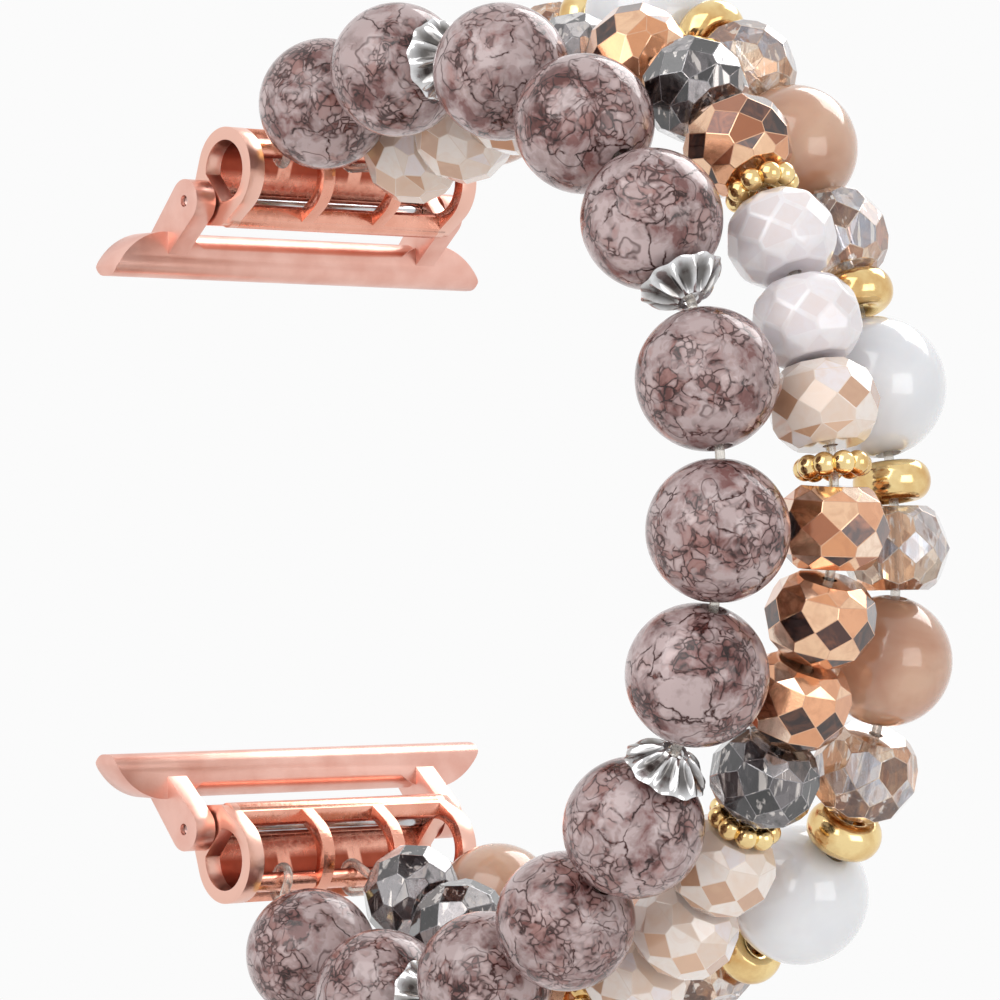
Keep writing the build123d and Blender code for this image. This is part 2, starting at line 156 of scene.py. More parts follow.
def crackleGlass():
    s = crackleSettings
    material, tree = newMaterial("crackle_glass")
    place = millimetres(tree)

    def shifted(vector, scale, amount):
        # the place moved by a noise, so that cracks wander
        drift = addNode(tree, "TexNoise", {"Vector": place, "Scale": scale}).outputs["Color"]
        step = addNode(tree, "VectorMath", {0: drift, 1: (amount, amount, amount)}, operation="MULTIPLY")
        return addNode(tree, "VectorMath", {0: vector, 1: step}, operation="ADD")

    swept = shifted(place, *s["sweep"])
    jagged = shifted(swept, *s["jag"])
    frayed = shifted(swept, *s["fray"])

    def cloud(scale, detail, low, high):
        # soft patches, 1 inside them and 0 outside
        noise = addNode(tree, "TexNoise", {"Vector": swept, "Scale": scale, "Detail": detail, "Roughness": 0.6})
        return addNode(tree, "MapRange", {0: noise, 1: low, 2: high})

    def foam(size, line, dark):
        # small cells side by side, each with a tone of its own and a dark outline
        edge = addNode(tree, "TexVoronoi", {"Vector": frayed, "Scale": 1 / size}, feature="DISTANCE_TO_EDGE")
        spot = addNode(tree, "TexVoronoi", {"Vector": frayed, "Scale": 1 / size})
        share = addNode(tree, "MapRange", {0: spot.outputs["Color"], 1: 0.4, 2: 0.75})
        tone = addNode(tree, "Mix", {0: share, 6: s["paleCell"], 7: dark}, data_type="RGBA")
        halo = addNode(tree, "MapRange", {0: edge, 1: 0.0, 2: line * 2.4, 3: 0.6, 4: 0.0})
        tone = addNode(tree, "Mix", {0: halo, 6: tone, 7: s["halo"]}, data_type="RGBA")
        outline = addNode(tree, "MapRange", {0: edge, 1: line * 0.3, 2: line * 0.8, 3: 1.0, 4: 0.0})
        outline = addNode(tree, "Math", {0: outline, 1: cloud(1.1, 2.0, 0.26, 0.44)}, operation="MULTIPLY")
        return addNode(tree, "Mix", {0: outline, 6: tone, 7: s["vein"]}, data_type="RGBA")

    body = addNode(tree, "TexNoise", {"Vector": place, "Scale": 0.4, "Detail": 4.0, "Roughness": 0.6})
    stops = [(0.32, s["cloudy"]), (0.46, s["clear"]), (0.6, s["clear"]), (0.72, s["rosy"])]
    body = paintRamp(addNode(tree, "ValToRGB", {0: body}), stops)

    # large plates with long cracks between them
    plates = addNode(tree, "TexVoronoi", {"Vector": jagged, "Scale": 1 / s["plateSize"]}, feature="DISTANCE_TO_EDGE")
    veins = addNode(tree, "MapRange", {0: plates, 1: s["veinLine"][0], 2: s["veinLine"][1], 3: 1.0, 4: 0.0})
    veins = addNode(tree, "Math", {0: veins, 1: cloud(0.6, 3.0, 0.38, 0.48)}, operation="MULTIPLY")

    # the outlines of a few large round bubbles of several sizes
    spot = addNode(tree, "TexVoronoi", {"Vector": swept, "Scale": 1 / s["ringSize"]})
    radius = addNode(tree, "MapRange", {0: spot.outputs["Color"], 1: 0.2, 2: 0.8, 3: 0.2, 4: 0.5})
    past = addNode(tree, "Math", {0: spot, 1: radius}, operation="SUBTRACT")
    past = addNode(tree, "Math", {0: past}, operation="ABSOLUTE")
    rings = addNode(tree, "MapRange", {0: past, 1: s["ringLine"] * 0.3, 2: s["ringLine"], 3: 1.0, 4: 0.0})
    rings = addNode(tree, "Math", {0: rings, 1: 0.75}, operation="MULTIPLY")

    lines = addNode(tree, "Math", {0: veins, 1: rings}, operation="MAXIMUM")
    colour = addNode(tree, "Mix", {0: lines, 6: body, 7: s["vein"]}, data_type="RGBA")
    bubbles = foam(s["bubbleSize"], s["bubbleLine"], s["darkCell"])
    fine = foam(s["fineSize"], s["fineLine"], s["stain"])
    crowd = addNode(tree, "Mix", {0: cloud(0.5, 2.0, 0.47, 0.53), 6: bubbles, 7: fine}, data_type="RGBA")
    crowded = addNode(tree, "Math", {0: cloud(0.3, 3.0, 0.46, 0.54), 1: 0.92}, operation="MULTIPLY")
    colour = addNode(tree, "Mix", {0: crowded, 6: colour, 7: crowd}, data_type="RGBA")
    stains = addNode(tree, "Math", {0: cloud(0.38, 4.0, 0.48, 0.62), 1: 0.9}, operation="MULTIPLY")
    colour = addNode(tree, "Mix", {0: stains, 6: colour, 7: s["wash"]}, data_type="RGBA", blend_type="MULTIPLY")

    # the dyed cracks let no light through, the pale plates do
    depth = addNode(tree, "RGBToBW", {0: colour})
    clear = addNode(tree, "MapRange", {0: depth, 1: 0.12, 2: 0.5, 3: 0.0, 4: s["clearShare"]})
    bump = addNode(tree, "Bump", {"Height": veins, "Distance": s["crackDepth"] * mm, "Strength": 0.4})
    shader = addNode(tree, "BsdfPrincipled", {
        "Base Color": colour, "Transmission Weight": clear, "Normal": bump, "Roughness": 0.25, "IOR": 1.5,
        "Specular IOR Level": 0.1, "Coat Weight": 0.75, "Coat Roughness": 0.02, "Coat IOR": 1.5, "Coat Tint": s["skin"],
    })
    addNode(tree, "OutputMaterial", {0: shader})
    return material


# Pressed and polished glass for the round beads: even in colour, with a soft glow from inside
roundGlassSettings = {
    "peach": {"deep": "#DAAB8E", "pale": "#F0D0B8", "skin": "#F1E6DF", "glow": 0.45, "clearShare": 0.3},
    "white": {"deep": "#DFE0E4", "pale": "#E8E9EC", "skin": "#FFFFFF", "glow": 0.22, "clearShare": 0.0},
}


def roundGlass(name):
    s = roundGlassSettings[name]
    material, tree = newMaterial(name + "_glass")
    place = millimetres(tree)
    swirl = addNode(tree, "TexNoise", {"Vector": place, "Scale": 0.16, "Detail": 3.0, "Distortion": 0.8})
    colour = paintRamp(addNode(tree, "ValToRGB", {0: swirl}), [(0.34, s["deep"]), (0.6, s["pale"])])
    specks = addNode(tree, "TexNoise", {"Vector": place, "Scale": 3.0})
    specks = addNode(tree, "MapRange", {0: specks, 1: 0.66, 2: 0.72, 3: 0.0, 4: 0.12})
    colour = addNode(tree, "Mix", {0: specks, 6: colour, 7: s["deep"]}, data_type="RGBA")
    shader = addNode(tree, "BsdfPrincipled", {
        "Base Color": colour, "Roughness": 0.18, "IOR": 1.5, "Transmission Weight": s["clearShare"],
        "Coat Weight": 1.0, "Coat Roughness": 0.03, "Coat IOR": 1.5, "Coat Tint": s["skin"],
        "Subsurface Weight": s["glow"], "Subsurface Scale": 2 * mm, "Subsurface Radius": (1.0, 0.7, 0.55),
    })
    addNode(tree, "OutputMaterial", {0: shader})
    return material


# Machine-cut glass: each facet has its own tone, as it catches a different part of the room.
# The face attribute holds a draw for each facet: under 0.3 for the small diamonds between the
# large facets, up to 0.9 for the large ones and above that for the eased edges, as a painted glint. Stops give the
# colours.
facetSettings = {
    "ivory": {
        "stops": [(0.0, "#C79C7E"), (0.12, "#D6AF93"), (0.2, "#E3CBB9"), (0.3, "#E9D9CD"), (0.5, "#F0E5DD"),
                  (0.68, "#DFCABB"), (0.8, "#E8DFE0"), (0.9, "#E6D6CA")],
        "haze": "#DEB796", "metallic": 0.0, "roughness": 0.16, "shine": 0.015, "glow": 0.15, "clearShare": 0.0,
    },
    "milky": {
        "stops": [(0.0, "#E2D9DA"), (0.2, "#E6E0E3"), (0.3, "#E3DDE1"), (0.6, "#E8E4E8"), (0.9, "#E8E4E7")],
        "haze": "#E0CDC5", "metallic": 0.0, "roughness": 0.26, "shine": 0.09, "glow": 0.3, "clearShare": 0.0,
    },
    "copper": {
        "stops": [(0.0, "#2B1917"), (0.16, "#4A2A23"), (0.24, "#A5633F"), (0.3, "#E8AA80"), (0.48, "#F2C6A0"),
                  (0.64, "#DB9869"), (0.76, "#FBE0C8"), (0.9, "#DFAE8C")],
        "haze": "#B4704C", "metallic": 0.85, "roughness": 0.13, "shine": 0.015, "glow": 0.0, "clearShare": 0.0,
    },
    "smoke": {
        "stops": [(0.0, "#111012"), (0.12, "#1F1D20"), (0.22, "#4C4648"), (0.3, "#6E686B"), (0.42, "#2E2B2F"),
                  (0.52, "#B3ACAE"), (0.62, "#F2EDED"), (0.76, "#5F4E49"), (0.82, "#DAD4D7"), (0.9, "#A5A1A5")],
        "haze": "#3E3A3C", "metallic": 0.25, "roughness": 0.06, "shine": 0.015, "glow": 0.0, "clearShare": 0.6,
        "shade": "#0E0D0F", "ray": "#FFF6F0",
    },
    "champagne": {
        "stops": [(0.0, "#D5DAE6"), (0.14, "#9AA0B0"), (0.2, "#5E3626"), (0.3, "#E8AE7C"), (0.42, "#A3633F"),
                  (0.54, "#F5DFC6"), (0.68, "#EEF0F6"), (0.8, "#DDA06A"), (0.9, "#E4D2BE")],
        "haze": "#DDA574", "metallic": 0.15, "roughness": 0.06, "shine": 0.015, "glow": 0.0, "clearShare": 0.75,
        "shade": "#93592F", "ray": "#FFFBF5",
    },
}


def facetedGlass(name):
    s = facetSettings[name]
    material, tree = newMaterial(name + "_cut_glass")
    place = millimetres(tree)
    draw = addNode(tree, "Attribute", attribute_name="facetTone").outputs["Fac"]
    tone = paintRamp(addNode(tree, "ValToRGB", {0: draw}), s["stops"], "CONSTANT")
    streaks = addNode(tree, "TexNoise", {"Vector": place, "Scale": 0.8, "Detail": 4.0, "Distortion": 1.2})
    streaks = addNode(tree, "MapRange", {0: streaks, 1: 0.42, 2: 0.72, 3: 0.0, 4: 0.3})
    colour = addNode(tree, "Mix", {0: streaks, 6: tone, 7: s["haze"]}, data_type="RGBA")
    if s["clearShare"]:  # light bent on the far facets runs in thin streaks that break at each edge
        apart = addNode(tree, "Math", {0: draw, 1: 40.0}, operation="MULTIPLY")
        drawn = addNode(tree, "VectorMath", {0: place, 1: apart}, operation="ADD")
        drawn = addNode(tree, "Mapping", {"Vector": drawn, "Scale": (1.5, 1.5, 0.16)})
        rays = addNode(tree, "TexNoise", {"Vector": drawn, "Scale": 1.0, "Detail": 3.0, "Distortion": 0.3})
        for low, high, tint in ((0.44, 0.3, s["shade"]), (0.58, 0.64, s["ray"])):
            share = addNode(tree, "MapRange", {0: rays, 1: low, 2: high, 3: 0.0, 4: 0.85})
            colour = addNode(tree, "Mix", {0: share, 6: colour, 7: tint}, data_type="RGBA")
    grit = addNode(tree, "TexNoise", {"Vector": place, "Scale": 5.0})
    bump = addNode(tree, "Bump", {"Height": grit, "Distance": 0.01 * mm, "Strength": 0.25})
    shader = addNode(tree, "BsdfPrincipled", {
        "Base Color": colour, "Normal": bump, "Metallic": s["metallic"], "Roughness": s["roughness"], "IOR": 1.54,
        "Coat Weight": 1.0, "Coat Roughness": s["shine"], "Coat IOR": 1.54, "Transmission Weight": s["clearShare"],
        "Subsurface Weight": s["glow"], "Subsurface Scale": 1.5 * mm, "Subsurface Radius": (1.0, 0.75, 0.6),
    })
    addNode(tree, "OutputMaterial", {0: shader})
    return material


# Plated metals: each has the colour of its plating and a fine grain, the caps tarnish in their
# hollows, and the connector's shell a painted shade on its inside. Sizes and depths are in mm.
metalSettings = {
    "gold_plate": {
        "bright": "#F2D89E", "dull": "#CFA265", "roughness": (0.08, 0.2),
        "grainSize": 0.35, "grainDepth": 0.006, "patchSize": 2.2,
    },
    "silver_plate": {
        "bright": "#E6E6E8", "dull": "#A8A39F", "roughness": (0.1, 0.24), "tarnish": "#3F3935",
        "grainSize": 0.4, "grainDepth": 0.01, "patchSize": 1.5,
    },
    "bar_steel": {
        "bright": "#D9D9DC", "dull": "#A9A9AC", "roughness": (0.1, 0.22),
        "grainSize": 0.3, "grainDepth": 0.003, "patchSize": 2.5,
    },
    "lug_rose_gold": {
        "bright": "#EFC0B2", "dull": "#E0A797", "roughness": (0.28, 0.4),
        "grainSize": 0.22, "grainDepth": 0.006, "patchSize": 3.5,
    },
    "frame_rose_gold": {
        # the darkest tone is a painted shade for the inside of the shell
        "bright": "#F0B19B", "dull": "#DC967F", "roughness": (0.14, 0.32), "shellShade": "#A8543F", "satin": "#EFBFAE",
        "grainSize": 0.45, "grainDepth": 0.02, "patchSize": 4.0,
    },
}

# Where the connector's head, ribs and side plates lie, as in the solid, in mm
frameSettings = {
    "headX": 6.1, "headZ": 26.6, "shellInside": 2.5, "ribMiddle": 3.5, "ribWidth": 1.1, "plateInside": 9.8,
}


def castingZones(tree, place):
    # the shell's inside, which keeps the rough skin of the casting and takes a painted shade, and the satin side plates
    s = frameSettings
    axes = addNode(tree, "SeparateXYZ", {0: place})
    along = addNode(tree, "Math", {0: axes.outputs[1]}, operation="ABSOLUTE")
    height = addNode(tree, "Math", {0: axes.outputs[2]}, operation="ABSOLUTE")
    across = addNode(tree, "Math", {0: axes.outputs[0], 1: s["headX"]}, operation="SUBTRACT")
    upward = addNode(tree, "Math", {0: height, 1: s["headZ"]}, operation="SUBTRACT")
    squares = [addNode(tree, "Math", {0: side, 1: 2.0}, operation="POWER") for side in (across, upward)]
    away = addNode(tree, "Math", {0: squares[0], 1: squares[1]}, operation="ADD")
    away = addNode(tree, "Math", {0: away}, operation="SQRT")
    low, high = s["shellInside"] + 0.05, s["shellInside"] + 0.25
    inside = addNode(tree, "MapRange", {0: away, 1: low, 2: high, 3: 1.0, 4: 0.0})
    fromRib = addNode(tree, "Math", {0: along, 1: s["ribMiddle"]}, operation="SUBTRACT")
    fromRib = addNode(tree, "Math", {0: fromRib}, operation="ABSOLUTE")
    clear = addNode(tree, "MapRange", {0: fromRib, 1: s["ribWidth"] / 2, 2: s["ribWidth"] / 2 + 0.15})
    satin = addNode(tree, "MapRange", {0: along, 1: s["plateInside"] - 0.04, 2: s["plateInside"] + 0.04})
    bay = addNode(tree, "Math", {0: 1.0, 1: satin}, operation="SUBTRACT")
    for share in (clear, bay):
        inside = addNode(tree, "Math", {0: inside, 1: share}, operation="MULTIPLY")
    return inside, satin


def platedMetal(name):
    s = metalSettings[name]
    material, tree = newMaterial(name)
    place = millimetres(tree)
    patches = addNode(tree, "TexNoise", {"Vector": place, "Scale": 1 / s["patchSize"], "Detail": 4.0})
    grain = addNode(tree, "TexNoise", {"Vector": place, "Scale": 1 / s["grainSize"], "Detail": 3.0})
    colour = paintRamp(addNode(tree, "ValToRGB", {0: patches}), [(0.3, s["dull"]), (0.62, s["bright"])])
    low, high = s["roughness"]
    rough = addNode(tree, "MapRange", {0: grain, 1: 0.3, 2: 0.75, 3: low, 4: high})
    zones = []
    if "tarnish" in s:
        hollow = addNode(tree, "Attribute", attribute_name="hollow").outputs["Fac"]
        zones = [(hollow, s["tarnish"])]
    # the shell's inside is painted darker as shade and left rougher
    if "shellShade" in s:
        inside, satin = castingZones(tree, place)
        zones = [(inside, s["shellShade"]), (satin, s["satin"])]
        extra = addNode(tree, "Math", {0: inside, 1: 0.14}, operation="MULTIPLY")
        rough = addNode(tree, "Math", {0: rough, 1: extra}, operation="ADD")
        brushed = addNode(tree, "Math", {0: satin, 1: 0.3}, operation="MULTIPLY")
        rough = addNode(tree, "Math", {0: rough, 1: brushed}, operation="MAXIMUM")
    for share, tint in zones:
        colour = addNode(tree, "Mix", {0: share, 6: colour, 7: tint}, data_type="RGBA")
    bump = addNode(tree, "Bump", {"Height": grain, "Distance": s["grainDepth"] * mm, "Strength": 0.6})
    shader = addNode(tree, "BsdfPrincipled", {
        "Base Color": colour, "Roughness": rough, "Normal": bump, "Metallic": 1.0,
    })
    addNode(tree, "OutputMaterial", {0: shader})
    return material


# Elastic cord: extruded clear polyurethane, a little milky, with faint draw lines
elasticSettings = {"milky": "#EBE4DA", "clear": "#F7F3EC", "clearShare": 0.8}


def clearElastic():
    s = elasticSettings
    material, tree = newMaterial("clear_elastic")
    haze = addNode(tree, "TexNoise", {"Vector": millimetres(tree), "Scale": 1.5, "Detail": 3.0})
    colour = paintRamp(addNode(tree, "ValToRGB", {0: haze}), [(0.35, s["milky"]), (0.65, s["clear"])])
    rough = addNode(tree, "MapRange", {0: haze, 1: 0.3, 2: 0.7, 3: 0.12, 4: 0.3})
    shader = addNode(tree, "BsdfPrincipled", {
        "Base Color": colour, "Roughness": rough, "IOR": 1.48, "Transmission Weight": s["clearShare"],
        "Coat Weight": 0.6, "Coat Roughness": 0.08,
    })
    addNode(tree, "OutputMaterial", {0: shader})
    return material


looks = {
    "crackle_glass": crackleGlass(),
    "peach_glass": roundGlass("peach"),
    "white_glass": roundGlass("white"),
    "ivory_glass": facetedGlass("ivory"),
    "milky_glass": facetedGlass("milky"),
    "copper_glass": facetedGlass("copper"),
    "smoke_crystal": facetedGlass("smoke"),
    "champagne_crystal": facetedGlass("champagne"),
    "clear_elastic": clearElastic(),
}
for metalName in metalSettings:
    looks[metalName] = platedMetal(metalName)
for nodeName, cadNode in nodes.items():  # every carried-over node gets its own finish
    cadNode.data.materials.clear()
    cadNode.data.materials.append(looks[slotOf[nodeName]])


print("stage: reading the places of the beads")


def islandsOf(nodeName):
    # the triangles of each separate solid of a node
    bm = bmesh.new()
    bm.from_mesh(nodes[nodeName].data)
    bmesh.ops.remove_doubles(bm, verts=bm.verts, dist=weldReach)
    bm.faces.ensure_lookup_table()
    unseen = set(range(len(bm.faces)))
    islands = []
    while unseen:
        stack = [min(unseen)]
        unseen.discard(stack[0])
        found = []
        while stack:
            face = bm.faces[stack.pop()]
            found.append([vertex.co.copy() for vertex in face.verts])
            for edge in face.edges:
                for other in edge.link_faces:
                    if other.index in unseen:
                        unseen.discard(other.index)
                        stack.append(other.index)
        islands.append(found)
    bm.free()
    return islands


def axisOf(triangles):
    # the middle of a flat round bead and the axis along which its surface spreads least
    areas = [(b - a).cross(c - a).length / 2 for a, b, c in triangles]
    total = sum(areas)
    centre = Vector()
    for area, corners in zip(areas, triangles):
        centre += sum(corners, Vector()) * (area / total / 3)
    spread = Matrix(((0, 0, 0), (0, 0, 0), (0, 0, 0)))
    for area, corners in zip(areas, triangles):
        own = sum(corners, Vector()) / 3 - centre
        for arm, share in [(corner - centre, 1 / 12) for corner in corners] + [(own, 9 / 12)]:
            for row in range(3):
                for column in range(3):
                    spread[row][column] += area / total * share * arm[row] * arm[column]
    for place in range(3):
        spread[place][place] += 1e-12  # keeps the matrix from being singular
    solver = spread.inverted()
    axis = Vector((0.3, 0.1, 0.9))
    for _ in range(60):  # inverse iteration, from any direction
        axis = (solver @ axis).normalized()
    return centre, axis


roundBeads = {}
for jointName, joint in joints.items():
    if jointName.startswith("spin_"):
        roundBeads[jointName[5:]] = (Vector(joint["pos_m"]), Vector(joint["axis"]).normalized())
masterOf = {
    "silver_caps": "cap", "gold_rondelles": "gold", "daisy_spacers": "daisy", "far_crystals": "crystal",
    "milky_beads": "milky", "ivory_beads": "rondelle", "copper_beads": "rondelle", "smoke_beads": "rondelle",
}  # the kind of bead in each group of nodes
flatBeads = {}
for nodeName in nodes:
    if nodeName.startswith(tuple(masterOf)):
        flatBeads[nodeName] = [axisOf(triangles) for triangles in islandsOf(nodeName)]
print("round beads", len(roundBeads), "flat beads", sum(len(places) for places in flatBeads.values()))


print("stage: modelling one bead of each kind")


def deselectAll():
    if bpy.context.object and bpy.context.object.mode != "OBJECT":
        bpy.ops.object.mode_set(mode="OBJECT")
    bpy.ops.object.select_all(action="DESELECT")


def useOnly(piece):
    deselectAll()
    piece.select_set(True)
    bpy.context.view_layer.objects.active = piece


def editAll(piece):
    useOnly(piece)
    bpy.ops.object.mode_set(mode="EDIT")
    bpy.ops.mesh.select_all(action="SELECT")


def deleteFaces(piece, unwanted):
    # leaves the piece in edit mode
    useOnly(piece)
    for group in (piece.data.vertices, piece.data.edges):
        group.foreach_set("select", [False] * len(group))
    piece.data.polygons.foreach_set("select", [unwanted(face.center) for face in piece.data.polygons])
    bpy.ops.object.mode_set(mode="EDIT")
    bpy.ops.mesh.select_mode(type="FACE")
    bpy.ops.mesh.delete(type="FACE")


def joinPieces(pieces, name):
    deselectAll()
    for piece in pieces:
        piece.select_set(True)
    bpy.context.view_layer.objects.active = pieces[0]
    if len(pieces) > 1:
        bpy.ops.object.join()
    pieces[0].name = name
    pieces[0].data.name = name
    return pieces[0]


def applyModifier(piece, kind, settings):
    useOnly(piece)
    modifier = piece.modifiers.new(kind.title(), kind)
    for key, value in settings.items():
        setattr(modifier, key, value)
    bpy.ops.object.modifier_apply(modifier=modifier.name)


def easeEdges(piece, width, segments, angle, **settings):
    # rounds the edges that are sharper than the angle; the width is in mm
    applyModifier(piece, "BEVEL", {
        "width": width * mm, "segments": segments, "limit_method": "ANGLE", "angle_limit": math.radians(angle),
        **settings,
    })


def smooth(piece, angle):
    useOnly(piece)
    bpy.ops.object.shade_smooth_by_angle(angle=math.radians(angle))


roundSettings = {
    "diameters": {"near_bead": 10.0, "peach_bead": 9.4, "white_bead": 10.2}, "opening": 0.75, "easing": 0.12,
    "segments": 56, "rings": 36,
}  # mm


def roundBead(diameter):
    # a sphere whose two poles are opened and joined through its middle
    s = roundSettings
    deselectAll()
    bpy.ops.mesh.primitive_uv_sphere_add(segments=s["segments"], ring_count=s["rings"], radius=diameter / 2 * mm)
    bead = bpy.context.object
    deleteFaces(bead, lambda middle: middle.xy.length < s["opening"] * mm)
    bpy.ops.mesh.select_mode(type="EDGE")
    bpy.ops.mesh.select_all(action="DESELECT")
    bpy.ops.mesh.select_non_manifold()
    bpy.ops.mesh.bridge_edge_loops()
    bpy.ops.mesh.normals_make_consistent(inside=False)
    bpy.ops.object.mode_set(mode="OBJECT")
    easeEdges(bead, s["easing"], 2, 50)
    smooth(bead, 50)
    return bead


cutSettings = {
    "rondelle": {"diameter": 8.0, "length": 5.8, "easing": 0.035, "steps": 1},
    "crystal": {"diameter": 7.8, "length": 6.0, "easing": 0.035, "steps": 1},
    "milky": {"diameter": 8.0, "length": 5.8, "easing": 0.2, "steps": 3},  # fire polished, so its edges are soft
}  # mm
# how all of them are ground: tilts in degrees, radii in mm, the rest as shares of the radius or length
grindSettings = {
    "facets": 9, "beltTilt": 21, "crownTilt": 52, "endRadius": 2.2, "hole": 0.55,
    "waist": 0.945, "nick": 0.745, "nickHeight": 0.405,
}


def cutBead(diameter, length, easing, steps):
    # a blank ground flat by flat: diamonds round the waist, then from each end a row of large
    # facets, a row of small ones that nick their tops, and a staggered crown
    s = grindSettings
    deselectAll()
    bpy.ops.mesh.primitive_cylinder_add(vertices=4 * s["facets"], radius=diameter * mm, depth=length * mm)
    bead = bpy.context.object
    editAll(bead)
    radius = diameter / 2
    nickTilt = (s["beltTilt"] + s["crownTilt"]) / 2
    flats = [
        (radius * s["waist"], 0.0, 0.0, 0.5, (1,)),
        (radius, 0.0, s["beltTilt"], 0.0, (1, -1)),
        (s["endRadius"], length / 2, s["crownTilt"], 0.5, (1, -1)),
        (radius * s["nick"], length * s["nickHeight"], nickTilt, 0.0, (1, -1)),
    ]  # each row's radius, height, tilt, stagger and ends
    for reach, height, tilt, stagger, ends in flats:
        rise = math.radians(tilt)
        for end in ends:
            for facet in range(s["facets"]):
                turn = math.tau / s["facets"] * (facet + stagger)
                across, along = math.cos(turn), math.sin(turn)
                facing = Vector((math.cos(rise) * across, math.cos(rise) * along, end * math.sin(rise)))
                middle = Vector((reach * across, reach * along, end * height)) * mm
                bpy.ops.mesh.select_all(action="SELECT")
                bpy.ops.mesh.bisect(plane_co=middle, plane_no=facing, use_fill=True, clear_outer=True)
    bpy.ops.mesh.select_all(action="SELECT")
    bpy.ops.mesh.remove_doubles(threshold=0.01 * mm)
    bpy.ops.mesh.dissolve_limited(angle_limit=math.radians(1))
    bpy.ops.mesh.normals_make_consistent(inside=False)
    bpy.ops.object.mode_set(mode="OBJECT")
    deselectAll()
    bpy.ops.mesh.primitive_cylinder_add(vertices=20, radius=s["hole"] * mm, depth=2 * length * mm)
    drill = bpy.context.object
    easeEdges(bead, easing, steps, 6)
    applyModifier(bead, "BOOLEAN", {"object": drill, "operation": "DIFFERENCE", "solver": "EXACT"})
    bpy.data.objects.remove(drill)
    if steps > 1:
        smooth(bead, 40)
        applyModifier(bead, "WEIGHTED_NORMAL", {"keep_sharp": True})
    # the small diamonds face straight out or are tilted as the nicks are
    small = math.sin(math.radians(nickTilt))
    heights = [abs(face.normal.z) for face in bead.data.polygons]
    kinds = bead.data.attributes.new("diamond", "FLOAT", "FACE")
    kinds.data.foreach_set("value", [float(min(height, abs(height - small)) < 0.03) for height in heights])
    return bead


goldSettings = {"diameter": 5.6, "length": 2.8, "hole": 0.6, "segments": 56, "sections": 28}  # mm


def goldBead():
    # a pressed rondelle: a ring whose section is an upright ellipse
    s = goldSettings
    thick = s["diameter"] / 2 - s["hole"]
    deselectAll()
    bpy.ops.mesh.primitive_torus_add(
        major_radius=(s["hole"] + thick / 2) * mm, minor_radius=thick / 2 * mm,
        major_segments=s["segments"], minor_segments=s["sections"],
    )
    bead = bpy.context.object
    bead.scale = (1.0, 1.0, s["length"] / thick)
    bpy.ops.object.transform_apply(location=True, rotation=True, scale=True)
    smooth(bead, 60)
    return bead


# the radii of the balls, of the ring that they stand on, and of the core and its wire, in mm
daisySettings = {"balls": 9, "ball": 0.85, "ring": 1.95, "core": 1.15, "wire": 0.52}


def daisyBead():
    # a cast spacer: a ring of balls round a small core
    s = daisySettings
    deselectAll()
    bpy.ops.mesh.primitive_torus_add(
        major_radius=s["core"] * mm, minor_radius=s["wire"] * mm, major_segments=36, minor_segments=12,
    )
    parts = [bpy.context.object]
    for ball in range(s["balls"]):
        turn = math.tau * ball / s["balls"]
        place = (s["ring"] * math.cos(turn) * mm, s["ring"] * math.sin(turn) * mm, 0)
        bpy.ops.mesh.primitive_uv_sphere_add(segments=20, ring_count=12, radius=s["ball"] * mm, location=place)
        parts.append(bpy.context.object)
    daisy = joinPieces(parts, "daisy")
    bpy.ops.object.transform_apply(location=True, rotation=True, scale=True)
    smooth(daisy, 60)
    return daisy


capSettings = {
    "petals": 10, "rim": 3.15, "collar": 1.0, "hole": 0.6, "height": 2.9, "rimHeight": 1.05, "wall": 0.26,
    "lip": 0.05, "flute": 0.36, "scallop": 0.3, "stepsPerPetal": 12,
    "profile": ((1.5, 0.14), (2.0, 0.34), (2.5, 0.58), (2.9, 0.82)),  # radius, and share of the drop to the rim
    "gap": 0.06, "seatRadius": 2.8,  # off the bead that it hugs, and where on the bead it rests
    "ridgeLift": 0.45, "cupDepth": 0.75, "cupDrop": 0.7, "tarnish": 0.85,  # shares
}  # mm


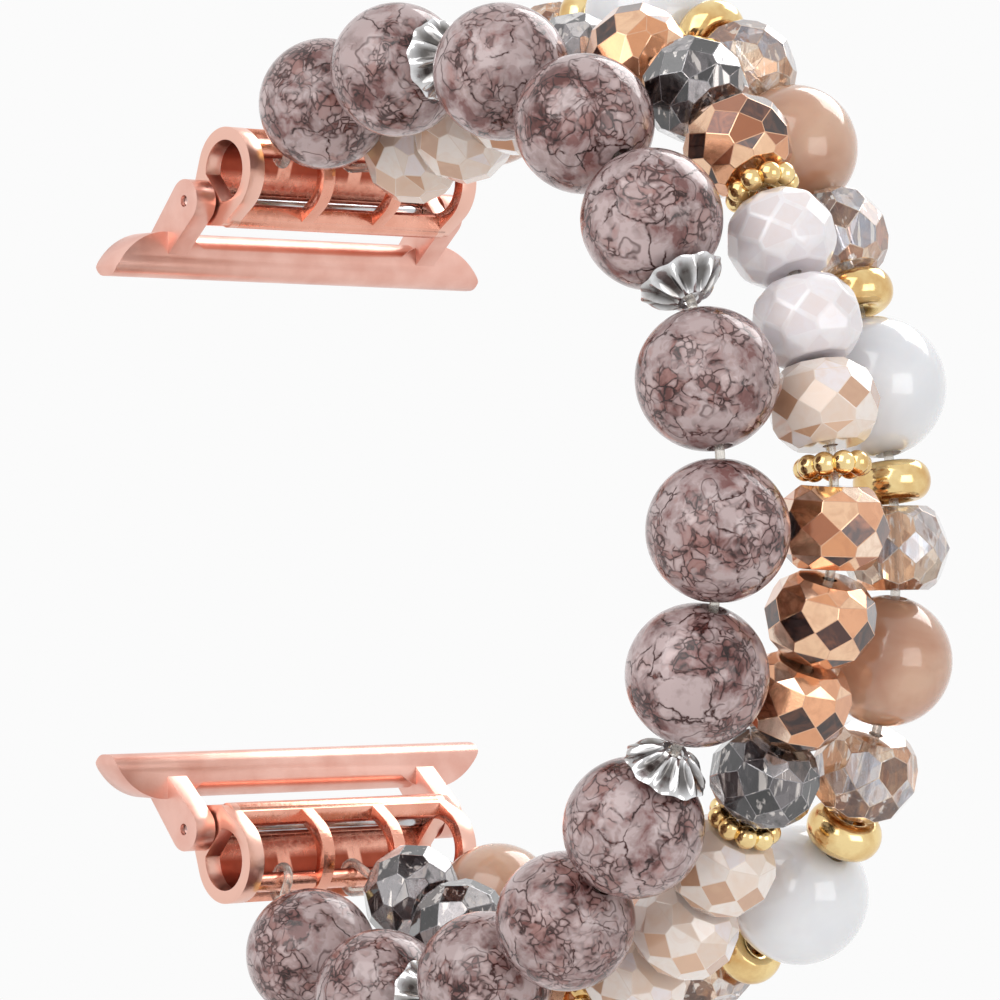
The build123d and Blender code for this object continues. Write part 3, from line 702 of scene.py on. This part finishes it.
def flowerCap():
    # a stamped cap: a spun profile, pressed into petals with raised ridges between them
    s = capSettings
    drop = s["height"] - s["rimHeight"]
    profile = [(s["hole"], s["height"] - s["lip"]), (s["collar"], s["height"])]
    profile += [(radius, s["height"] - share * drop) for radius, share in s["profile"]] + [(s["rim"], s["rimHeight"])]
    deselectAll()
    bpy.ops.mesh.primitive_plane_add(size=1)
    cap = bpy.context.object
    bm = bmesh.new()
    line = [bm.verts.new((radius * mm, 0, height * mm)) for radius, height in profile]
    for first, second in zip(line, line[1:]):
        bm.edges.new((first, second))
    bm.to_mesh(cap.data)
    bm.free()
    editAll(cap)
    bpy.ops.mesh.subdivide(number_cuts=3)
    bpy.ops.mesh.select_all(action="SELECT")
    bpy.ops.mesh.spin(steps=s["petals"] * s["stepsPerPetal"], angle=math.tau, center=(0, 0, 0), axis=(0, 0, 1))
    bpy.ops.mesh.select_all(action="SELECT")
    bpy.ops.mesh.remove_doubles(threshold=0.01 * mm)
    bpy.ops.mesh.normals_make_consistent(inside=False)
    bpy.ops.object.mode_set(mode="OBJECT")
    hollows = []
    for vertex in cap.data.vertices:
        turn = math.atan2(vertex.co.y, vertex.co.x)
        out = min(1.0, max(0.0, (vertex.co.xy.length / mm - s["collar"]) / (s["rim"] - s["collar"])))
        wave = math.cos(s["petals"] * turn)
        ridge = abs(math.sin(s["petals"] * turn / 2)) ** 6  # narrow ridges between the petals
        cup = (1 - ridge) * math.sin(math.pi * min(1.0, out * 1.05)) ** 0.8
        hollows.append(s["tarnish"] * min(1.0, 1.25 * cup))
        push = s["flute"] * (s["ridgeLift"] * ridge * out - s["cupDepth"] * cup)
        reach = 1 - s["scallop"] / s["rim"] * (0.5 - 0.5 * wave) * out ** 3
        vertex.co.x *= reach
        vertex.co.y *= reach
        vertex.co += Vector((math.cos(turn), math.sin(turn), s["cupDrop"])) * (push * mm)
    attribute = cap.data.attributes.new("hollow", "FLOAT", "POINT")
    attribute.data.foreach_set("value", hollows)
    applyModifier(cap, "SOLIDIFY", {"thickness": s["wall"] * mm, "offset": -1.0})
    smooth(cap, 60)
    return cap


masters = {name: roundBead(diameter) for name, diameter in roundSettings["diameters"].items()}
masters.update({name: cutBead(**sizes) for name, sizes in cutSettings.items()})
masters.update({"gold": goldBead(), "daisy": daisyBead(), "cap": flowerCap()})
print("masters", {name: len(piece.data.polygons) for name, piece in masters.items()})


print("stage: stringing the beads")


def twinOf(source):
    # a copy with its own mesh
    copy = source.copy()
    copy.data = source.data.copy()
    bpy.context.scene.collection.objects.link(copy)
    return copy


def copyTo(master, centre, axis, spin):
    # a copy spun round Z and turned to the axis, whose place is in its mesh
    copy = twinOf(master)
    turn = axis.to_track_quat("Z", "Y").to_matrix().to_4x4() @ Matrix.Rotation(spin, 4, "Z")
    copy.data.transform(Matrix.Translation(centre) @ turn)
    return copy


# draws for the facets, as facetSettings reads them; the area is in square mm
# the eased edges, the faces smaller than the given area, take one draw that paints a glint on them
toneSettings = {"diamond": (0.0, 0.28), "large": (0.31, 0.88), "glint": 0.95, "glintArea": 0.3, "bareSide": 0.72}


def drawTones(piece, axis, rng):
    # one draw for each cut facet; the diamonds take the low draws, and so do the facets of the
    # side that the coating missed
    s = toneSettings
    bare = Vector([rng.uniform(-1, 1) for _ in range(3)]).cross(axis).normalized()
    diamonds = [entry.value for entry in piece.data.attributes["diamond"].data]
    tones = []
    for face, diamond in zip(piece.data.polygons, diamonds):
        # the small faces of the eased edges take the draw of the painted glint
        if face.area < s["glintArea"] * mm * mm:
            tones.append(s["glint"])
        else:
            low = diamond or face.normal.dot(bare) > s["bareSide"]
            tones.append(rng.uniform(*s["diamond" if low else "large"]))
    attribute = piece.data.attributes.new("facetTone", "FLOAT", "FACE")
    attribute.data.foreach_set("value", tones)


def finish(piece, node):
    # the piece takes the node's finish, its body and its place
    piece.data.materials.clear()
    piece.data.materials.append(looks[slotOf[node]])
    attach(piece, bodyOf[node])
    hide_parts(node)


rng = random.Random(11)
for nodeName, (centre, axis) in sorted(roundBeads.items()):
    bead = copyTo(masters[nodeName.rsplit("_", 1)[0]], centre, axis, rng.uniform(0, math.tau))
    finish(joinPieces([bead], nodeName + "_glass"), nodeName)

crackles = [centre for name, (centre, axis) in roundBeads.items() if name.startswith("near")]
crackleRadius = roundSettings["diameters"]["near_bead"] / 2
# a cap's own origin is the middle of its rim, at this height over the bead's centre
seatHeight = math.sqrt((crackleRadius + capSettings["gap"]) ** 2 - capSettings["seatRadius"] ** 2) * mm
for nodeName, places in sorted(flatBeads.items()):
    kind = next(kind for start, kind in masterOf.items() if nodeName.startswith(start))
    copies = []
    for centre, axis in places:
        if kind == "cap":
            hugged = min(crackles, key=lambda bead: (bead - centre).length)
            if axis.dot(centre - hugged) < 0:
                axis = -axis
            centre = hugged + axis * seatHeight
        spin = 0.0 if kind == "gold" else rng.uniform(0, math.tau)
        copies.append(copyTo(masters[kind], centre, axis, spin))
        if kind in cutSettings:
            drawTones(copies[-1], axis, rng)
    finish(joinPieces(copies, nodeName + "_strung"), nodeName)
for master in masters.values():
    bpy.data.objects.remove(master)


print("stage: elastic cords")
wristMiddle = Vector((28, 0, 0)) * mm
stretchBodies = ["upper_beads", "mid_upper_beads", "mid_lower_beads", "lower_beads"]
# where each strand lies along Y, in mm
cordSettings = {"near_elastic_cord": (-20, -6), "middle_elastic_cord": (-4, 4), "far_elastic_cord": (6, 20)}
# a crossing's piece of cord: how far from the gap's middle it may lie, half its length as a share of
# the step from bead to bead, and a length along that step
crossingSettings = {"reach": 4.0, "share": 0.275, "turn": 0.3}  # mm


def alongBand(point):
    # how far round the wrist a point is, from the upper end to the lower
    turn = math.atan2(point.x - wristMiddle.x, point.z)
    return turn % math.tau if point.z < 0 else turn


def stretchOf(nodeName):
    # the body of the stretch that a bead is strung on
    body = bodyOf[nodeName]
    return joints["spin_" + nodeName]["parent"] if body.endswith("_turning") else body


def freeCopy(nodeName, flatAngle=0):
    # a CAD node's mesh as a piece of its own, with its loose triangles joined, and made one face
    # where they meet at less than the angle
    copy = twinOf(nodes[nodeName])
    for key in list(copy.keys()):
        del copy[key]
    copy.parent = None
    editAll(copy)
    bpy.ops.mesh.remove_doubles(threshold=weldReach)
    if flatAngle:
        bpy.ops.mesh.dissolve_limited(angle_limit=math.radians(flatAngle))
    bpy.ops.object.mode_set(mode="OBJECT")
    return copy


def cordPiece(source, wanted, name):
    # the part of a strand's cord whose faces pass the test
    piece = twinOf(source)
    deleteFaces(piece, lambda middle: not wanted(middle))
    bpy.ops.object.mode_set(mode="OBJECT")
    piece.name = name
    piece.data.materials.clear()
    piece.data.materials.append(looks["clear_elastic"])
    smooth(piece, 60)
    return piece


def inCrossing(point, meet):
    middle, heading, halfLength = meet
    away = point - middle
    return away.length < crossingSettings["reach"] * mm and abs(away.dot(heading)) < halfLength


strungBeads = [(centre, stretchOf(nodeName)) for nodeName, (centre, axis) in roundBeads.items()]
for nodeName, places in flatBeads.items():
    if "silver_caps" not in nodeName:
        strungBeads += [(centre, stretchOf(nodeName)) for centre, axis in places]

for cordName, (nearSide, farSide) in cordSettings.items():
    strand = [bead for bead in strungBeads if nearSide * mm < bead[0].y < farSide * mm]
    strand.sort(key=lambda bead: alongBand(bead[0]))
    meets = []  # where one stretch meets the next
    for (first, firstBody), (second, secondBody) in zip(strand, strand[1:]):
        if firstBody != secondBody:
            step = second - first
            meets.append(((first + second) / 2, step.normalized(), step.length * crossingSettings["share"]))
    limits = [-math.inf] + [alongBand(meet[0]) for meet in meets] + [math.inf]
    source = freeCopy(cordName)
    strandName = cordName.split("_")[0]
    for place, body in enumerate(stretchBodies):

        def inStretch(point):
            inside = limits[place] < alongBand(point) < limits[place + 1]
            return inside and not any(inCrossing(point, meet) for meet in meets)

        if not any(inStretch(face.center) for face in source.data.polygons):
            continue  # a stretch of one short bead, whose cord the two crossings hold
        piece = cordPiece(source, inStretch, strandName + "_cord_" + body.replace("_beads", ""))
        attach(piece, body)
        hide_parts(cordName)
    for place, meet in enumerate(meets):
        name = strandName + "_cord_crossing_" + str(place + 1)
        piece = cordPiece(source, lambda point: inCrossing(point, meet), name)
        turn = meet[1] * crossingSettings["turn"] * mm
        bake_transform(piece)
        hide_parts(cordName)
    bpy.data.objects.remove(source)


print("stage: connectors")
castSettings = {"easing": 0.14, "ribEasing": 0.3, "slack": 0.02, "flatAngle": 0.5}  # mm and degrees


def easeRibs(cast):
    # the two inner ribs are rounded like wires
    sides = [frameSettings["ribMiddle"] + side * frameSettings["ribWidth"] / 2 for side in (-1, 1)]
    group = cast.vertex_groups.new(name="rib_edges")
    for vertex in cast.data.vertices:
        if min(abs(abs(vertex.co.y) / mm - side) for side in sides) < castSettings["slack"]:
            group.add([vertex.index], 1.0, "REPLACE")
    applyModifier(cast, "BEVEL", {
        "width": castSettings["ribEasing"] * mm, "segments": 3, "limit_method": "VGROUP", "vertex_group": group.name,
        "use_clamp_overlap": True,
    })


for nodeName in ("upper_connector_frame", "lower_connector_frame", "upper_lug", "lower_lug"):
    # the casting with its edges eased, as tumbling leaves them
    cast = freeCopy(nodeName, castSettings["flatAngle"])
    cast.name = nodeName + "_casting"
    if "frame" in nodeName:
        easeRibs(cast)
    easeEdges(cast, castSettings["easing"], 2, 40, use_clamp_overlap=True)
    smooth(cast, 35)
    finish(cast, nodeName)


print("stage: bar springs")
springSettings = {"wire": 0.075, "coil": 0.425, "pitch": 0.45, "steps": 14}  # wire and coil radii, in mm


def halfSpring(length):
    # a coil from the origin up along Z, swept by turning and lifting the wire's section
    s = springSettings
    rise = length - 2 * s["wire"]
    turns = round(rise / s["pitch"])
    deselectAll()
    bpy.ops.mesh.primitive_circle_add(
        vertices=8, radius=s["wire"] * mm, location=(s["coil"] * mm, 0, 0), rotation=(math.radians(90), 0, 0),
    )
    coil = bpy.context.object
    bpy.ops.object.transform_apply(location=True, rotation=True, scale=True)
    applyModifier(coil, "SCREW", {
        "axis": "Z", "angle": math.tau, "screw_offset": rise / turns * mm, "iterations": turns,
        "steps": s["steps"], "render_steps": s["steps"],
    })
    editAll(coil)
    bpy.ops.mesh.remove_doubles(threshold=weldReach)
    bpy.ops.mesh.fill_holes(sides=8)
    bpy.ops.mesh.select_all(action="SELECT")
    bpy.ops.mesh.normals_make_consistent(inside=False)
    bpy.ops.object.mode_set(mode="OBJECT")
    coil.data.transform(Matrix.Translation((0, 0, s["wire"] * mm)))
    smooth(coil, 60)
    return coil


for end in ("upper", "lower"):
    sleeve = nodes[end + "_bar_spring"]
    corners = [sleeve.matrix_world @ Vector(corner) for corner in sleeve.bound_box]
    reach = max(corner.y for corner in corners)
    seat = Vector((sum(corner.x for corner in corners) / 8, 0, sum(corner.z for corner in corners) / 8))
    for side, direction in (("near", -1), ("far", 1)):
        coil = halfSpring(reach / mm)
        coil.data.transform(Matrix.Translation(seat) @ Matrix.Rotation(math.radians(-90 * direction), 4, "X"))
        coil.name = coil.data.name = end + "_coil_" + side
        finish(coil, end + "_bar_spring")
        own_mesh(coil)


print("stage: stage, lights and camera")
# The band hangs from its upper lug, and the floor lies lower than any pose reaches; sizes in mm
stageSettings = {
    "floorDrop": 19, "floorSize": 6000, "paper": ("#F1F1F0", "#F6F6F5"), "white": "#FBFBFB",
    "shadowReach": (60.0, 130.0), "ambient": 0.5,
}


def seenWhite(tree):
    # 1 for rays that show the background: straight, in a reflection or through glass
    rays = addNode(tree, "LightPath").outputs
    mirrored = addNode(tree, "Math", {0: rays["Is Glossy Ray"], 1: rays["Is Transmission Ray"]}, operation="MAXIMUM")
    return addNode(tree, "Math", {0: rays["Is Camera Ray"], 1: mirrored}, operation="MAXIMUM")


def paleFloor():
    # matt studio paper: white to the camera, but it keeps the shadow round the object
    s = stageSettings
    material, tree = newMaterial("studio_paper")
    place = millimetres(tree)
    fibre = addNode(tree, "TexNoise", {"Vector": place, "Scale": 0.8})
    colour = paintRamp(addNode(tree, "ValToRGB", {0: fibre}), [(0.3, s["paper"][0]), (0.7, s["paper"][1])])
    shader = addNode(tree, "BsdfPrincipled", {"Base Color": colour, "Roughness": 0.9, "Specular IOR Level": 0.1})
    away = addNode(tree, "VectorMath", {0: place}, operation="LENGTH")
    plain = addNode(tree, "MapRange", {0: away, 1: s["shadowReach"][0], 2: s["shadowReach"][1], 3: 0.5, 4: 1.0})
    share = addNode(tree, "Math", {0: seenWhite(tree), 1: plain}, operation="MULTIPLY")
    glow = addNode(tree, "Emission", {"Color": s["white"], "Strength": 1.0})
    addNode(tree, "OutputMaterial", {0: addNode(tree, "MixShader", {0: share, 1: shader, 2: glow})})
    return material


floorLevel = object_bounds()[0][2] - stageSettings["floorDrop"] * mm
deselectAll()
bpy.ops.mesh.primitive_plane_add(size=stageSettings["floorSize"] * mm, location=(0, 0, floorLevel))
floor = bpy.context.object
floor.name = "floor"
floor.data.materials.append(paleFloor())

world = bpy.data.worlds.new("studio")
bpy.context.scene.world = world
world.use_nodes = True
tree = world.node_tree
tree.nodes.clear()
strength = addNode(tree, "MapRange", {0: seenWhite(tree), 1: 0.0, 2: 1.0, 3: stageSettings["ambient"], 4: 1.0})
back = addNode(tree, "Background", {"Color": stageSettings["white"], "Strength": strength})
addNode(tree, "OutputWorld", {0: back})

# The camera that was fitted to the beads of the photograph: angles in degrees, the rest in mm
cameraSettings = {
    "turn": 39.51, "tilt": 0.47, "away": 380.0, "across": 16.56, "up": 1.255, "lens": 171.7, "sensor": 36, "near": 10,
}
turn = math.radians(cameraSettings["turn"])
tilt = math.radians(cameraSettings["tilt"])
ahead = Vector((-math.cos(turn) * math.cos(tilt), math.sin(turn) * math.cos(tilt), math.sin(tilt)))
right = ahead.cross(Vector((0, 0, 1))).normalized()
upward = right.cross(ahead)
cameraData = bpy.data.cameras.new("camera")
cameraData.sensor_width = cameraSettings["sensor"]
cameraData.lens = cameraSettings["lens"]
cameraData.clip_start = cameraSettings["near"] * mm
camera = bpy.data.objects.new("camera", cameraData)
bpy.context.scene.collection.objects.link(camera)
camera.matrix_world = Matrix.Translation(
    (ahead * -cameraSettings["away"] + right * cameraSettings["across"] + upward * cameraSettings["up"]) * mm
) @ Matrix((right, upward, -ahead)).transposed().to_4x4()
bpy.context.scene.camera = camera

# Soft boxes: place is across, up and towards the camera from the band's middle, in mm
lampSettings = {
    "key_soft_box": {"place": (-200, 240, 300), "size": (420, 420), "watts": 1.15},
    "fill_soft_box": {"place": (260, -60, 290), "size": (240, 420), "watts": 0.6},
    "rim_soft_box": {"place": (160, 220, -160), "size": (240, 160), "watts": 0.45},
}
bandMiddle = Vector((30, 0, 0)) * mm
for lampName, s in lampSettings.items():
    lampData = bpy.data.lights.new(lampName, "AREA")
    lampData.shape = "RECTANGLE"
    lampData.size, lampData.size_y = s["size"][0] * mm, s["size"][1] * mm
    lampData.energy = s["watts"]
    lamp = bpy.data.objects.new(lampName, lampData)
    bpy.context.scene.collection.objects.link(lamp)
    across, up, towards = s["place"]
    spot = bandMiddle + (right * across + upward * up - ahead * towards) * mm
    lamp.matrix_world = Matrix.Translation(spot) @ (spot - bandMiddle).to_track_quat("Z", "Y").to_matrix().to_4x4()
bpy.context.scene.view_settings.view_transform = "Standard"
